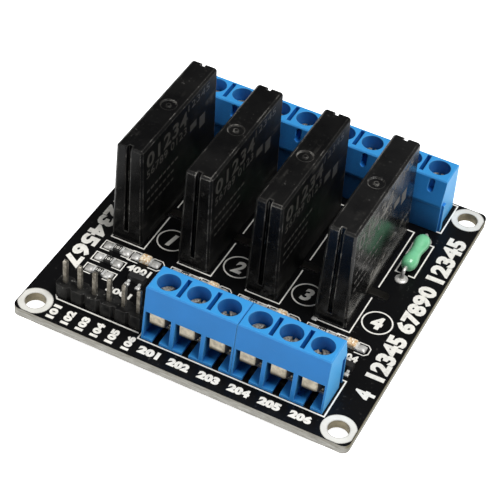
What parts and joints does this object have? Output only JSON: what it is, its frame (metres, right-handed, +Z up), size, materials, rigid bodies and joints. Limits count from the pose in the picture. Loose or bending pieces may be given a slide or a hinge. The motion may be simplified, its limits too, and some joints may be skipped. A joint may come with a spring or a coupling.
{
  "type": "relay module board",
  "caption": "Circuit board carrying flat solid-state relays in a row, screw terminals for inputs and outputs, a pin header, fuses and indicator lamps.",
  "frame": {"origin": "centre of the board in plan, at the height of the trimmed lead tips that it stands on", "axes": "+X to the right along the edge with the pin header and the input terminals, +Y from that edge to the output terminals, +Z up out of the component side"},
  "size_m": [0.056, 0.057, 0.0226],
  "materials": {
    "board_black": "satin solder mask",
    "tinned_ring": "tinned copper",
    "terminal_blue": "satin moulded",
    "clamp_metal": "nickel plated",
    "screw_steel": "zinc plated",
    "contact_tin": "tinned",
    "header_black": "moulded",
    "pin_metal": "tinned",
    "relay_black": "smooth moulded",
    "relay_resin": "cast",
    "lead_tin": "tinned",
    "fuse_green": "lacquered",
    "solder": "bright solder",
    "chip_metal": "tinned",
    "lamp_cream": "clear over cream",
    "chip_black": "glazed",
    "chip_mould": "moulded"
  },
  "bodies": {
    "root": {"board": "board_black", "fuse_body_1": "fuse_green", "fuse_body_2": "fuse_green", "fuse_body_3": "fuse_green", "fuse_body_4": "fuse_green", "fuse_leads_1": "lead_tin", "fuse_leads_2": "lead_tin", "fuse_leads_3": "lead_tin", "fuse_leads_4": "lead_tin", "fuse_solder": "solder", "header_base": "header_black", "header_pins": "pin_metal", "hole_plating": "tinned_ring", "input_clamps_left": "clamp_metal", "input_clamps_right": "clamp_metal", "input_contacts_left": "contact_tin", "input_contacts_right": "contact_tin", "input_housing_left": "terminal_blue", "input_housing_right": "terminal_blue", "input_screws_left": "screw_steel", "input_screws_right": "screw_steel", "lamp_1": "lamp_cream", "lamp_2": "lamp_cream", "lamp_3": "lamp_cream", "lamp_4": "lamp_cream", "lamp_caps": "chip_metal", "lead_solder": "solder", "output_clamps_1": "clamp_metal", "output_clamps_2": "clamp_metal", "output_clamps_3": "clamp_metal", "output_clamps_4": "clamp_metal", "output_contacts_1": "contact_tin", "output_contacts_2": "contact_tin", "output_contacts_3": "contact_tin", "output_contacts_4": "contact_tin", "output_housing_1": "terminal_blue", "output_housing_2": "terminal_blue", "output_housing_3": "terminal_blue", "output_housing_4": "terminal_blue", "output_screws_1": "screw_steel", "output_screws_2": "screw_steel", "output_screws_3": "screw_steel", "output_screws_4": "screw_steel", "pad_solder": "solder", "relay_case_1": "relay_black", "relay_case_2": "relay_black", "relay_case_3": "relay_black", "relay_case_4": "relay_black", "relay_leads_1": "lead_tin", "relay_leads_2": "lead_tin", "relay_leads_3": "lead_tin", "relay_leads_4": "lead_tin", "relay_resin_1": "relay_resin", "relay_resin_2": "relay_resin", "relay_resin_3": "relay_resin", "relay_resin_4": "relay_resin", "resistor_caps": "chip_metal", "resistors": "chip_black", "transistor_legs": "chip_metal", "transistors": "chip_mould"}
  },
  "joints": []
}
